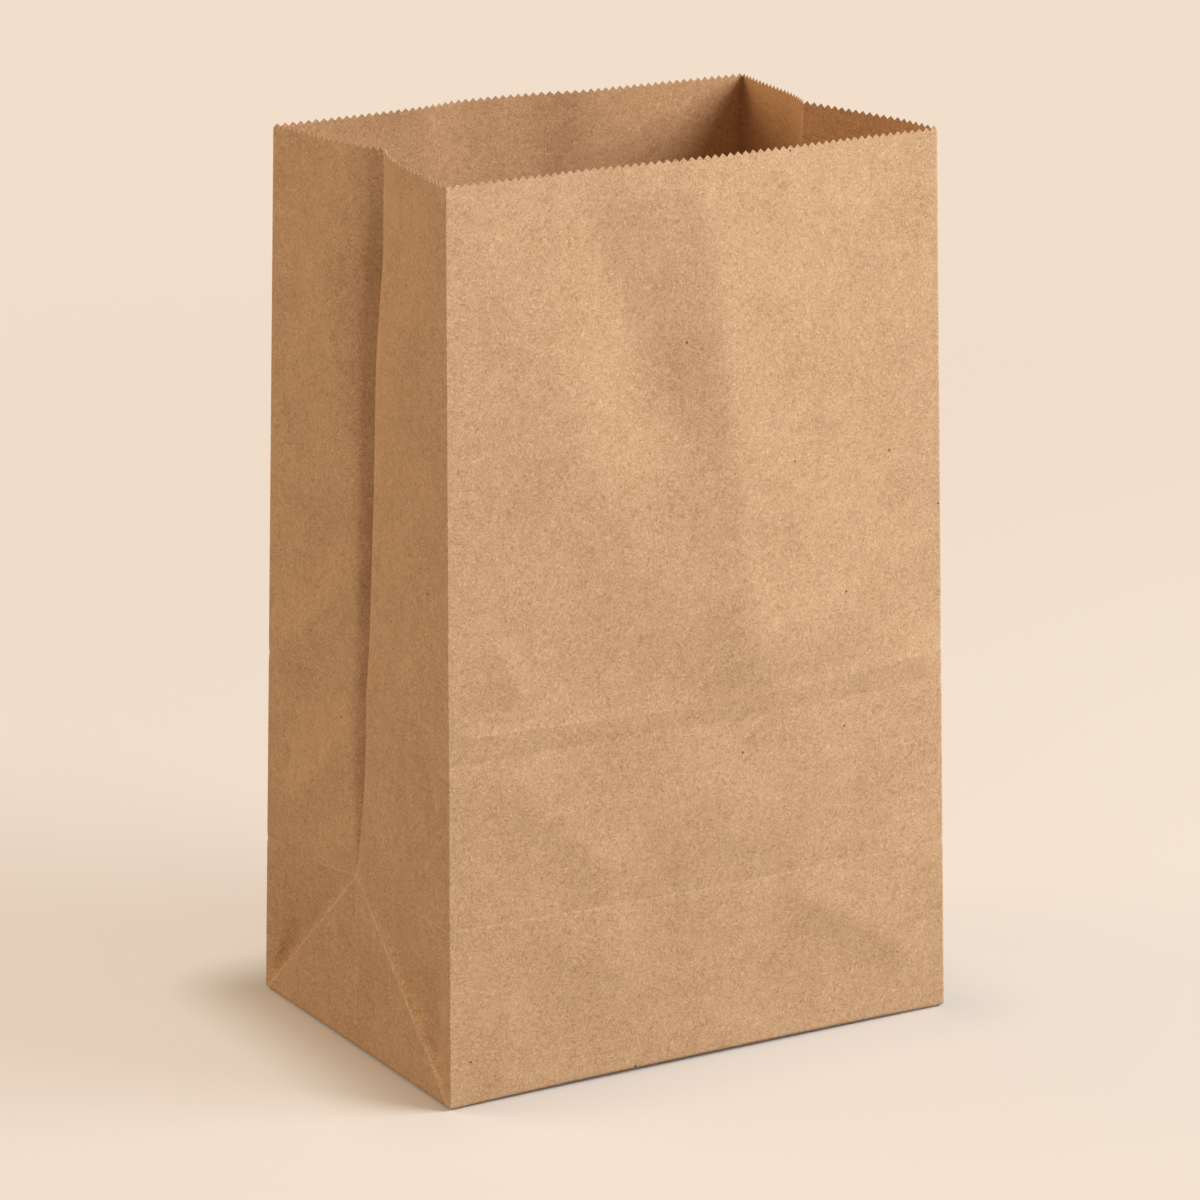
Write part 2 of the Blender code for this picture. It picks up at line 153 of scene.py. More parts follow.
# %% [markdown]
# ## Creases and soft folds
#
# A lunch bag is shipped flat, with its base folded up against it. That leaves a crease half a depth up, a
# pressed band one depth up, and the two slanting creases of each ear. Handling adds soft folds and small
# buckles. Each one is written here as a path over its panel in millimetres, with x measured from the
# panel's left edge as seen from outside, and z from the floor. A height above nought stands out of the
# paper. The two reaches say how far it fades to the left of its path and to the right. Its round is the
# radius of its crest: nought is a hard crease. Such small relief could be left to a bump texture, but in
# the mesh it also bends the outline and the light inside the bag.

# %% The relief of every panel


def soft(path, height, reach, crest=2.0, ends=10.0):
    return {"path": path, "height": height, "reach": reach, "crest": crest, "ends": ends, "worn": 0.0}


def hard(path, height, reach, worn=1.0, ends=6.0):
    return {"path": path, "height": height, "reach": reach, "crest": 0.0, "ends": ends, "worn": worn}


RELIEF = {
    "front": [
        # The long soft fold down the middle, and the slanting hollow to the left of it
        soft([(70, 242), (80, 200), (84, 155), (88, 115), (91, 92)], 2.9, (27, 60), 0.6, 20),
        soft([(33, 242), (50, 205), (63, 177), (78, 158)], -1.5, (30, 18), 2.0, 20),
        soft([(100, 240), (103, 225), (107, 200)], 0.7, (12, 20), 1.5, 14),
        # Slack in the upper left
        soft([(33, 200), (40, 165), (62, 130), (66, 105)], 1.1, (26, 22), 3.0, 16),
        # The buckle above the band, near the left edge
        soft([(12, 123), (18, 113), (22, 103)], 1.3, (12, 5), 0.2, 5),
        # Under the band: a slanting ridge from the left edge, and the ones above the bottom corners
        soft([(2, 89.5), (24, 77), (53, 50)], 1.0, (14, 16), 0.4, 12),
        soft([(60, 86), (84, 68), (90, 49)], 0.7, (20, 16), 3.0, 14),
        soft([(101, 42), (126, 28), (150, 10)], 1.0, (11, 11), 0.4, 10),
        soft([(18, 29), (16, 16), (12, 2)], 0.7, (8, 7), 0.3, 6),
        soft([(25, 47), (38, 36), (60, 22)], 0.8, (14, 16), 2.0, 12),
        # The band's upper wedge at the right edge
        hard([(112, 97.2), (132, 99.4), (152, 102)], 0.4, (5, 12), 0.0, 14),
        # Small buckles on the right edge
        soft([(152, 143), (142, 138)], -0.5, (5, 5), 0.3, 5),
        soft([(152, 111), (140, 106)], -0.5, (5, 6), 0.3, 5),
    ],
    "left_near": [
        soft([(20, 215), (24, 150), (20, 110)], 0.7, (18, 16), 6.0, 20),
        soft([(44, 36), (39, 22), (42, 8)], -0.8, (8, 6), 0.8, 8),
    ],
    "left_far": [
        soft([(30, 240), (29, 200), (33, 178), (40, 150), (47, 134)], 1.3, (22, 12), 2.0, 12),
        soft([(47, 134), (28, 113), (0, 96)], 1.8, (12, 16), 0.8, 10),
        soft([(45, 88), (24, 66), (2, 49)], 1.5, (13, 15), 1.2, 10),
        soft([(16, 44), (17.5, 30), (19, 20)], 0.5, (5, 6), 0.3, 6),
    ],
    "right_near": [
        soft([(8, 225), (20, 160), (30, 120)], 1.2, (20, 18), 4.0, 20),
        soft([(2, 92), (22, 72), (44, 52)], 0.9, (12, 12), 2.0, 10),
    ],
    "right_far": [
        soft([(30, 230), (24, 170), (10, 118)], 1.2, (18, 18), 4.0, 20),
        soft([(4, 88), (24, 68), (46, 50)], 0.8, (12, 12), 2.5, 10),
    ],
    "back": [
        soft([(112, 242), (104, 190), (96, 140), (84, 98)], 1.8, (36, 30), 2.0, 14),
        soft([(28, 236), (36, 190), (52, 150)], -1.2, (20, 24), 4.0, 16),
        soft([(6, 132), (14, 120), (20, 104)], 0.8, (10, 7), 0.4, 6),
        soft([(148, 88), (128, 74), (104, 50)], 1.0, (15, 15), 0.8, 12),
        soft([(44, 40), (24, 28), (6, 14)], 1.0, (13, 13), 0.8, 10),
        soft([(150, 120), (140, 112), (134, 102)], 0.8, (8, 9), 0.4, 6),
    ],
}

# The level creases, as the height of each along its panel
LEVEL_CREASES = {
    "front": {"base": [(0, 47.8), (40, 46.9), (72, 46.3), (110, 46.4), (152, 46.3)],
              "band_top": [(0, 98.0), (40, 97.0), (76, 95.8), (110, 96.6), (152, 98.4)],
              "band_foot": [(0, 90.8), (76, 90.6), (152, 90.8)]},
    "left_near": {"base": [(0, 47.5), (24, 47.6), (47.5, 47.8)],
                  "band_top": [(0, 98.4), (47.5, 98.0)],
                  "band_foot": [(0, 91.6), (47.5, 90.8)]},
    "left_far": {"base": [(0, 43.4), (30, 45.0), (40, 46.4), (47.5, 47.5)],
                 "band_top": [(0, 95.4), (27, 96.4), (47.5, 98.4)],
                 "band_foot": [(0, 90.6), (47.5, 91.6)]},
    "right_near": {"base": [(0, 46.3), (47.5, 47.5)],
                   "band_top": [(0, 98.4), (47.5, 98.0)],
                   "band_foot": [(0, 90.8), (47.5, 91.0)]},
    "right_far": {"base": [(0, 47.5), (47.5, 46.0)],
                  "band_top": [(0, 98.0), (47.5, 96.8)],
                  "band_foot": [(0, 91.0), (47.5, 90.6)]},
    "back": {"base": [(0, 46.0), (76, 46.8), (152, 43.4)],
             "band_top": [(0, 96.8), (76, 96.2), (152, 95.4)],
             "band_foot": [(0, 90.6), (76, 91.0), (152, 90.6)]},
}
print("Soft folds and buckles:", sum(len(folds) for folds in RELIEF.values()))


def along(points, x):
    """The height of a level crease at one place across its panel, in millimetres."""
    for (x0, z0), (x1, z1) in zip(points, points[1:]):
        if x <= x1 or (x1, z1) == points[-1]:
            return z0 + (z1 - z0) * clamp((x - x0) / (x1 - x0))


def to_path(path, x, z):
    """How far a point lies to the right of a path, and how far from its nearer end it passes."""
    best = None
    gone = 0.0
    for (x0, z0), (x1, z1) in zip(path, path[1:]):
        run_x, run_z = x1 - x0, z1 - z0
        length = math.hypot(run_x, run_z)
        share = clamp(((x - x0) * run_x + (z - z0) * run_z) / length ** 2)
        off_x, off_z = x - x0 - run_x * share, z - z0 - run_z * share
        distance = math.hypot(off_x, off_z)
        if best is None or distance < abs(best[0]):
            right = off_z * run_x - off_x * run_z > 0
            best = (distance if right else -distance, gone + share * length)
        gone += length
    return best[0], min(best[1], gone - best[1])


FADE = 1.5
RIDGE_FADE, VALLEY_FADE = 4.0, 5.0
FOLD_CLEAR = 5.0


def fold_relief(fold, x, z):
    aside, inside = to_path(fold["path"], x, z)
    reach = fold["reach"][1] if aside > 0 else fold["reach"][0]
    rounded = math.hypot(aside, fold["crest"]) - fold["crest"]
    return fold["height"] * clamp(1 - rounded / reach) ** FADE * ease(inside / fold["ends"])


def level_relief(panel, x, z, width):
    """The pressed band with its two crease lines, and the crease half a depth up."""
    lines = LEVEL_CREASES[panel]
    top, foot, base = along(lines["band_top"], x), along(lines["band_foot"], x), along(lines["base"], x)
    at_ends = abs(2 * x / width - 1) ** 1.6
    if z >= top:
        ridge = math.exp(-(z - top) / RIDGE_FADE)
    else:
        ridge = clamp((z - foot) / (top - foot))
    valley = math.exp(-abs(z - base) / VALLEY_FADE)
    if panel in ("front", "back"):
        return (0.22 + 0.60 * at_ends) * ridge + (-0.22 + 0.46 * at_ends) * valley
    return 0.34 * ridge + 0.40 * valley * arch(x / width)


def relief(panel, x, z, width):
    """How far the paper stands out at a point of a panel, in millimetres; nothing at the folds."""
    level = level_relief(panel, x, z, width) * ease(min(x, width - x) / FOLD_CLEAR)
    return level + sum(fold_relief(fold, x, z) for fold in RELIEF[panel]) * arch(x / width) ** 0.4

# %% [markdown]
# ## From the flat blank to the standing bag
#
# A point of the blank is known by its distance along the blank and its height. Folding the bag is one
# function that says where such a point stands. Between two folds the panel is straight, and bellies out a
# little, since paper that has been bent keeps some of its curve. The near half of a gusset rolls over its
# middle fold, the far half drops steeply to it, and each ear leans in between its two creases.

# %% The belly of each panel, and the folding function
# Heights of the relief in mm; the starts, peaks and clearance are shares of a half gusset's width
FRONT_BELLY = 2.6
BACK_BELLY = 2.6
BACK_MOUTH_BOW = 1.0
LAP_BULGE = 3.6
NEAR_ROLL = {"left": 3.9, "right": 3.0}
NEAR_MOUTH_ROLL = {"left": 2.3, "right": 1.9}
ROLL_START = 0.84
MOUTH_ROLL_START = {"left": 0.71, "right": 0.30}
MOUTH_ROLL_HEIGHT = 60 * MM
ROLL_CLIMB = 0.9 * HALF_GUSSET
FAR_BELLY = {"low": 1.7, "high": 4.4}
FAR_BELLY_PEAK = {"low": 6.5, "high": 2.1}
FAR_BELLY_RISE = 6 * MM
FAR_PEAK_RISE = 70 * MM
FAR_MOUTH_HEIGHT = 30 * MM
EAR_HOLLOW = {"near": 3.3, "far": 5.8}
EAR_LIP = 1.5 * MM
EAR_CLEAR = 0.24
EDGE_DENT = 0.12


def waist(height):
    return math.sin(math.pi * ease(max(height / HEIGHT, 0.0) ** 0.8))


def dent(name, height):
    """The upright folds are nicked a little where the level creases cross them."""
    marks = {"front_left": (47.8, 90.8, 98.4), "front_right": (46.3, 90.8, 99.8),
             "back_left": (43.4, 95.0), "back_right": (46.0, 95.0)}[name]
    z = height / MM
    return sum(math.exp(-((z - mark) / 1.1) ** 2) for mark in marks) * EDGE_DENT


def edge_point(name, height, inset=0.0):
    point = corner(name, height, inset)
    nick = dent(name, height) * MM
    point.x -= math.copysign(nick, point.x)
    point.y -= math.copysign(nick, point.y)
    return point


def between(start, end, across, push):
    run = end - start
    outward = Vector((run.y, -run.x, 0)).normalized()
    return start + run * across + outward * push * MM


def wall_point(panel, x, height, inset=0.0):
    """Where a point of a panel stands: x runs from the panel's left edge, as seen from outside."""
    z = height / MM
    width = WIDE if panel in ("front", "back") else HALF_GUSSET
    across = x / width
    relief_here = relief(panel, x / MM, z, width / MM)
    if panel == "front":
        push = FRONT_BELLY * arch(across ** 1.3) * waist(height) + relief_here
        left, right = (edge_point("front_" + side, height, inset) for side in ("left", "right"))
        return between(left, right, across, push)
    if panel == "back":
        push = BACK_BELLY * arch(across) * waist(height) + relief_here
        up = ease(height / HEIGHT)
        push += BACK_MOUTH_BOW * arch(across ** 0.9) * up ** 2
        push += LAP_BULGE * math.exp(-((x / MM - 80) / 21) ** 4) * up ** 5
        left, right = (edge_point("back_" + side, height, inset) for side in ("right", "left"))
        return between(left, right, across, push)
    side, half = panel.split("_")
    outer_name = ("front_" if half == "near" else "back_") + side
    outer = edge_point(outer_name, height, inset)
    fold = gusset_fold(side, height, inset)
    starts_outside = (side == "right") == (half == "near")
    inward = across if starts_outside else 1 - across
    push = roll(side, inward, height) if half == "near" else far_belly(inward, height)
    push += relief_here
    push -= EAR_HOLLOW[half] * ear_depth(inward, height)
    if starts_outside:
        return between(outer, fold, across, push)
    return between(fold, outer, across, push)


def mixed(ends, share):
    return ends["low"] + (ends["high"] - ends["low"]) * share


def far_belly(inward, height):
    """Near its hard middle fold the far half keeps the steep set it was pressed to, except at the mouth."""
    climb = ease((height - APEX_HEIGHT) / (HEIGHT - APEX_HEIGHT))
    at_mouth = 1 - 0.7 * ease((height - HEIGHT + FAR_MOUTH_HEIGHT) / FAR_MOUTH_HEIGHT)
    peak = mixed(FAR_BELLY_PEAK, ease((height - BAND_HEIGHT) / FAR_PEAK_RISE))
    amount = mixed(FAR_BELLY, climb) * ease((height - APEX_HEIGHT) / FAR_BELLY_RISE)
    return amount * at_mouth * arch(inward ** peak)


def ear_depth(inward, height):
    """An ear leans in below its level crease, and comes back out just before its slanting one."""
    above = height - inward * APEX_HEIGHT
    if above <= 0 or height >= APEX_HEIGHT or inward <= 0:
        return 0.0
    return (1 - height / APEX_HEIGHT) * clamp(above / EAR_LIP) * ease(inward / EAR_CLEAR)


def roll(side, inward, height):
    """The near half runs nearly straight from the upright fold, then rolls inwards to the middle fold."""
    at_mouth = ease((height - HEIGHT + MOUTH_ROLL_HEIGHT) / MOUTH_ROLL_HEIGHT)
    climb = clamp((height - APEX_HEIGHT) / ROLL_CLIMB) ** 0.6
    start = ROLL_START + (MOUTH_ROLL_START[side] - ROLL_START) * at_mouth
    amount = NEAR_ROLL[side] + (NEAR_MOUTH_ROLL[side] - NEAR_ROLL[side]) * at_mouth
    if inward < start:
        return amount * climb * inward / start
    past = (inward - start) / (1 - start)
    return amount * climb * (1 - past ** (2 - 0.8 * at_mouth))


def panel_at(distance):
    """Which panel a distance along the blank falls on, and how far across that panel."""
    start = 0.0
    for number, (panel, width) in enumerate(BLANK):
        if distance <= start + width + TOOTH / 100 or number == len(BLANK) - 1:
            break
        start += width
    x = distance - start
    if number == 0:
        x += WIDE - LAP - LEFT_OF_LAP
    return number, panel, x


def lap_lift(distance):
    """The sheet's last edge is glued over its first, so it lies one paper further out there."""
    return 1.02 * PAPER * ease(1 + (distance - BLANK_WIDTH + LAP) / (3 * MM))


def folded(distance, height, inset=0.0):
    number, panel, x = panel_at(distance)
    point = wall_point(panel, x, height, inset)
    point.y += lap_lift(distance)
    return point


for distance in (0, BLANK_WIDTH / 2):
    print("At", round(distance / MM), "mm along the blank, the mouth is at",
          [round(value / MM, 1) for value in folded(distance, HEIGHT)])

# %% [markdown]
# ## Cutting and creasing the blank
#
# The blank starts as a flat grid, one column to each tooth. Creases are cut into it with bisect_plane, three
# cuts side by side, so that each crease has its own line of points and a narrow worn strip. Cutting the
# flat sheet is far simpler than cutting a folded one, and the flat places become the UV map later.

# %% A flat grid with crease lines
ROWS = 132
WORN_HALF_WIDTH = 0.38 * MM
CUT_REACH = 3.2 * MM
WELD = 0.02 * MM
LEVEL_WEAR = {"base": 0.45, "band_top": 0.12, "band_foot": 0.0}
GUSSET_BASE_WEAR = 0.7
SLANT_WEAR = 0.75
UPRIGHT_WEAR = 0.6


def flat_blank():
    """A sheet in the XZ plane that faces -Y, with x along the blank and z up."""
    bm = bmesh.new()
    bmesh.ops.create_grid(bm, x_segments=round(BLANK_WIDTH / TOOTH), y_segments=ROWS, size=0.5)
    foot = SOLE + FOLD_RADIUS
    lift = Matrix.Rotation(math.pi / 2, 4, "X")
    bmesh.ops.transform(bm, matrix=lift, verts=bm.verts)
    bmesh.ops.scale(bm, vec=(BLANK_WIDTH, 1, HEIGHT - TOOTH_DEPTH - foot), verts=bm.verts)
    bmesh.ops.translate(bm, vec=(BLANK_WIDTH / 2, 0, (HEIGHT - TOOTH_DEPTH + foot) / 2), verts=bm.verts)
    for vert in bm.verts:
        vert.co.y = 0.0
    return bm


def panel_starts():
    start = 0.0
    for number, (panel, width) in enumerate(BLANK):
        offset = WIDE - LAP - LEFT_OF_LAP if number == 0 else 0.0
        yield panel, start, width, offset
        start += width


def crease_paths():
    """Every hard crease as a path on the flat blank, with how worn it is."""
    paths = []
    for panel, start, width, offset in panel_starts():
        for name, points in LEVEL_CREASES[panel].items():
            flat = [(start - offset + x * MM, z * MM) for x, z in points]
            on_gusset_base = name == "base" and panel not in ("front", "back")
            wear = GUSSET_BASE_WEAR if on_gusset_base else LEVEL_WEAR[name]
            paths.append((flat, wear, start, start + width))
        if panel in ("front", "back"):
            continue
        heights = [0.0, APEX_HEIGHT]
        if panel in ("left_near", "right_far"):
            heights.reverse()
        slant = list(zip((start, start + width), heights))
        paths.append((slant, SLANT_WEAR, start, start + width))
    return paths


def cut_faces(bm, faces, point, normal):
    """Cut some faces along a plane, and give back all that the cut leaves of them."""
    # A dict keeps its order, so that each run cuts in the same order
    geometry = dict.fromkeys(faces)
    for face in faces:
        geometry.update(dict.fromkeys(face.edges))
        geometry.update(dict.fromkeys(face.verts))
    return bmesh.ops.bisect_plane(bm, geom=list(geometry), dist=WELD, plane_co=point, plane_no=normal)["geom"]


def cut_path(bm, path, low, high):
    """Cut the faces near a path along it, and along a line on either side of it."""
    for (x0, z0), (x1, z1) in zip(path, path[1:]):
        run = Vector((x1 - x0, 0, z1 - z0))
        aside = Vector((run.z, 0, -run.x)).normalized()
        for offset in (-WORN_HALF_WIDTH, 0.0, WORN_HALF_WIDTH):
            origin = Vector((x0, 0, z0)) + aside * offset
            near = []
            for face in bm.faces:
                middle = face.calc_center_median()
                if not low < middle.x < high or not min(x0, x1) < middle.x < max(x0, x1):
                    continue
                if abs((middle - origin).dot(aside)) < CUT_REACH:
                    near.append(face)
            cut_faces(bm, near, origin, aside)


def wear_at(point, paths):
    """One on a worn crease, nothing beyond the cuts on either side of it."""
    worn = 0.0
    for path, amount, low, high in paths:
        if not low - TOOTH < point.x < high + TOOTH:
            continue
        aside, _ = to_path(path, point.x, point.z)
        worn = max(worn, amount * clamp(1 - abs(aside) / WORN_HALF_WIDTH))
    return worn


blank = flat_blank()
creases = crease_paths()
for path, _, low, high in creases:
    cut_path(blank, path, low, high)
print("The creased blank has", len(blank.faces), "faces")

# %% [markdown]
# ## Teeth, fold lines and the worn attribute
#
# The mouth is cut with a toothed knife: each top edge is split in its middle and the new point is lifted.
# Each upright fold gets a narrow strip on both sides, so that it can turn over a small radius and carry a
# worn line. The wear is kept as a number on every point, which the material reads.

# %% Cut the teeth and fold the blank


def cut_teeth(bm):
    top = [edge for edge in bm.edges if edge.is_boundary
           and min(vert.co.z for vert in edge.verts) > HEIGHT - TOOTH_DEPTH - TOOTH / 100]
    tips = [bmesh.utils.edge_split(edge, edge.verts[0], 0.5)[1] for edge in top]
    bmesh.ops.translate(bm, verts=tips, vec=(0, 0, TOOTH_DEPTH))
    return len(tips)


def cut_beside_folds(bm):
    folds = [start for _, start, _, _ in panel_starts()][1:]
    for fold in folds:
        for offset in (-WORN_HALF_WIDTH, WORN_HALF_WIDTH):
            near = [face for face in bm.faces if abs(face.calc_center_median().x - fold) < TOOTH]
            cut_faces(bm, near, Vector((fold + offset, 0, 0)), Vector((1, 0, 0)))
    return folds


print("Teeth:", cut_teeth(blank))
upright = cut_beside_folds(blank)
for fold in upright:
    creases.append(([(fold, 0.0), (fold, HEIGHT)], UPRIGHT_WEAR, fold, fold))

worn = blank.verts.layers.float.new("worn")
flat = blank.loops.layers.uv.new("flat_sheet")
for face in blank.faces:
    face.smooth = True
    for loop in face.loops:
        loop[flat].uv = (loop.vert.co.x, loop.vert.co.z)
for vert in blank.verts:
    vert[worn] = wear_at(vert.co, creases)
ends = sorted({round(vert.co.x / TOOTH) for vert in blank.verts})
print("Columns run from tooth", ends[0], "to tooth", ends[-1])

# %% [markdown]
# ## The base
#
# The four bottom edges turn under over a small radius. The base itself is filled in as one flat face and cut
# into a grid, so that it can arch a little: a real bag stands on its corners, and the middle of each edge
# clears the table by less than a millimetre. The two flaps are laid under it later, once the sheet is thick.

# %% Turn the bottom edges under and fill the base
FOOT_ARCH = 0.75 * MM
SIDE_ARCH = 0.25 * MM
ARCH_HEIGHT = 25 * MM
TURNS = (30, 60, 90)


def foot_lift(x, y):
    """How far the paper stands off the table at a place on the base."""
    along_x = min(abs(x) / (WIDE / 2), 1.0) ** 3
    along_y = min(abs(y) / HALF_GUSSET, 1.0) ** 3
    return FOOT_ARCH * (1 - along_x) + SIDE_ARCH * along_x * (1 - along_y)


def turn_under(bm):
    """Extrude the blank's bottom edges round the base fold, and give back its rows of points."""
    foot = SOLE + FOLD_RADIUS
    edges = [edge for edge in bm.edges
             if edge.is_boundary and max(vert.co.z for vert in edge.verts) < foot + WELD / 2]
    row = {vert: vert.co.x for edge in edges for vert in edge.verts}
    rows = [row]
    for _ in TURNS:
        made = bmesh.ops.extrude_edge_only(bm, edges=edges)["geom"]
        above = {vert for vert in made if isinstance(vert, bmesh.types.BMVert)}
        edges = [edge for edge in made if isinstance(edge, bmesh.types.BMEdge) and edge.is_boundary
                 and edge.verts[0] in above and edge.verts[1] in above]
        row = {next(e.other_vert(vert) for e in vert.link_edges if e.other_vert(vert) in above): x
               for vert, x in row.items()}
        rows.append(row)
    return rows


base_rows = turn_under(blank)
foot_height = SOLE + FOLD_RADIUS
for vert in blank.verts:
    if vert not in base_rows[1] and vert not in base_rows[2] and vert not in base_rows[3]:
        vert.co = folded(vert.co.x, vert.co.z)
for angle, row in zip(TURNS, base_rows[1:]):
    turn = math.radians(angle)
    for vert, distance in row.items():
        inset = FOLD_RADIUS * (1 - math.cos(turn))
        vert.co = folded(distance, foot_height - FOLD_RADIUS * math.sin(turn), inset)
        vert[worn] = UPRIGHT_WEAR
last_row = sorted(base_rows[3].items(), key=lambda item: item[1])
print("The base ring has", len(last_row), "points")

# %% Close the base with one face, cut into a grid
BASE_CELL = 9.5 * MM


def cut_flat(bm, faces, point, normal):
    """Cut flat faces along a line, and give back all their pieces."""
    return [item for item in cut_faces(bm, faces, point, normal) if isinstance(item, bmesh.types.BMFace)]


# A new layer comes before the faces it marks, because making one renews every face
sole = blank.faces.layers.int.new("sole")

# The outer layer of the lap ends at the base fold, so the base hangs on the rest of the sheet
ring = [vert for vert, distance in last_row if distance < BLANK_WIDTH - LAP + TOOTH / 100]
base = [blank.faces.new(list(reversed(ring)))]
base[0].smooth = True
for step in range(-7, 8):
    base = cut_flat(blank, base, Vector((step * BASE_CELL, 0, 0)), Vector((1, 0, 0)))
for step in range(-4, 5):
    base = cut_flat(blank, base, Vector((0, step * BASE_CELL, 0)), Vector((0, 1, 0)))
for face in base:
    face.smooth = True
    face[sole] = 1
    for loop in face.loops:
        loop[flat].uv = (loop.vert.co.x + WIDE, loop.vert.co.y - 2 * HALF_GUSSET)
for vert in blank.verts:
    near_floor = clamp(1 - vert.co.z / ARCH_HEIGHT) ** 2
    vert.co.z += foot_lift(vert.co.x, vert.co.y) * near_floor
bmesh.ops.recalc_face_normals(blank, faces=blank.faces[:])
print("The base is", len(base), "faces")

# %% [markdown]
# ## Thickness and the glued flaps
#
# Solidify gives the sheet its thickness, towards the inside, and its result is taken as the bag's own mesh.
# Then the back flap and the front flap are laid under the base: the base's underside is cut along the flaps'
# edges, and those faces are extruded down by one paper each, the front flap over the back one. The faces of
# the cut mouth and the faces inside the bag are marked here for the material; it paints shade on the inside
# ones.

# %% Thicken the sheet and lay the flaps
RIM_TILT = 0.3
bag_mesh = bpy.data.meshes.new("kraft_bag")
blank.to_mesh(bag_mesh)
blank.free()
bag = bpy.data.objects.new("kraft_bag", bag_mesh)
bpy.context.scene.collection.objects.link(bag)
paper = bag.modifiers.new("paper", "SOLIDIFY")
paper.thickness = PAPER
paper.offset = -1
paper.use_even_offset = True
bag.data = bpy.data.meshes.new_from_object(bag.evaluated_get(bpy.context.evaluated_depsgraph_get()))
bag.modifiers.clear()


def raise_layer(bm, faces, direction, thickness=PAPER):
    made = bmesh.ops.extrude_face_region(bm, geom=faces)["geom"]
    bmesh.ops.delete(bm, geom=faces, context="FACES")
    lifted = [item for item in made if isinstance(item, bmesh.types.BMVert)]
    bmesh.ops.translate(bm, verts=lifted, vec=direction * thickness)
    return [item for item in made if isinstance(item, bmesh.types.BMFace)]


def flap_side(middle, feet):
    """Which flap covers a place on the base: the front one, the back one, or neither."""
    for side in ("front", "back"):
        inside = True
        for end in ("left", "right"):
            foot = feet[side + "_" + end]
            away_x = (middle.x - foot.x) * (1 if end == "left" else -1)
            away_y = (middle.y - foot.y) * (1 if side == "front" else -1)
            inside = inside and away_x > away_y
        if inside and (side == "back" or middle.y < FLAP_OVERLAP / 2):
            return side
    return None


bm = bmesh.new()
bm.from_mesh(bag.data)
cut_edge = bm.faces.layers.float.new("cut_edge")
painted_inside_shade = bm.faces.layers.float.new("painted_inside_shade")
sole = bm.faces.layers.int["sole"]
for face in bm.faces:
    middle = face.calc_center_median()
    if abs(face.normal.z) > RIM_TILT and middle.z > HEIGHT - 2 * TOOTH_DEPTH:
        face[cut_edge] = 1.0
    outward = Vector((middle.x / WIDE, middle.y / HALF_GUSSET, 0))
    # Faces inside the bag are marked for the painted shade that the material lays on them
    if face.normal.dot(outward) < 0 and face[sole] == 0:
        face[painted_inside_shade] = 1.0
print("Faces of the cut mouth:", sum(1 for face in bm.faces if face[cut_edge]))
print("Faces inside the bag:", sum(1 for face in bm.faces if face[painted_inside_shade]))
under = [face for face in bm.faces if face[sole] == 1 and face.normal.z < -0.9]
feet = {name: corner(name, SOLE, FOLD_RADIUS) for name in FOOT_SHIFT}
for name, foot in feet.items():
    diagonal = Vector((-math.copysign(1, foot.y), math.copysign(1, foot.x), 0))
    under = cut_flat(bm, under, foot, diagonal)
under = cut_flat(bm, under, Vector((0, FLAP_OVERLAP / 2, 0)), Vector((0, 1, 0)))
covered = [face for face in under if flap_side(face.calc_center_median(), feet)]
lowered = raise_layer(bm, covered, Vector((0, 0, -1)))
front_flap = [face for face in lowered if flap_side(face.calc_center_median(), feet) == "front"]
raise_layer(bm, front_flap, Vector((0, 0, -1)))
bm.to_mesh(bag.data)
triangles = sum(len(face.verts) - 2 for face in bm.faces)
bm.free()
print("The bag is", triangles, "triangles; flap faces:", len(covered), "and", len(front_flap))
even = bag.modifiers.new("even_shading", "WEIGHTED_NORMAL")
even.mode = "FACE_AREA"
even.weight = 60

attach(bag, "root")
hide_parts("paper_bag")
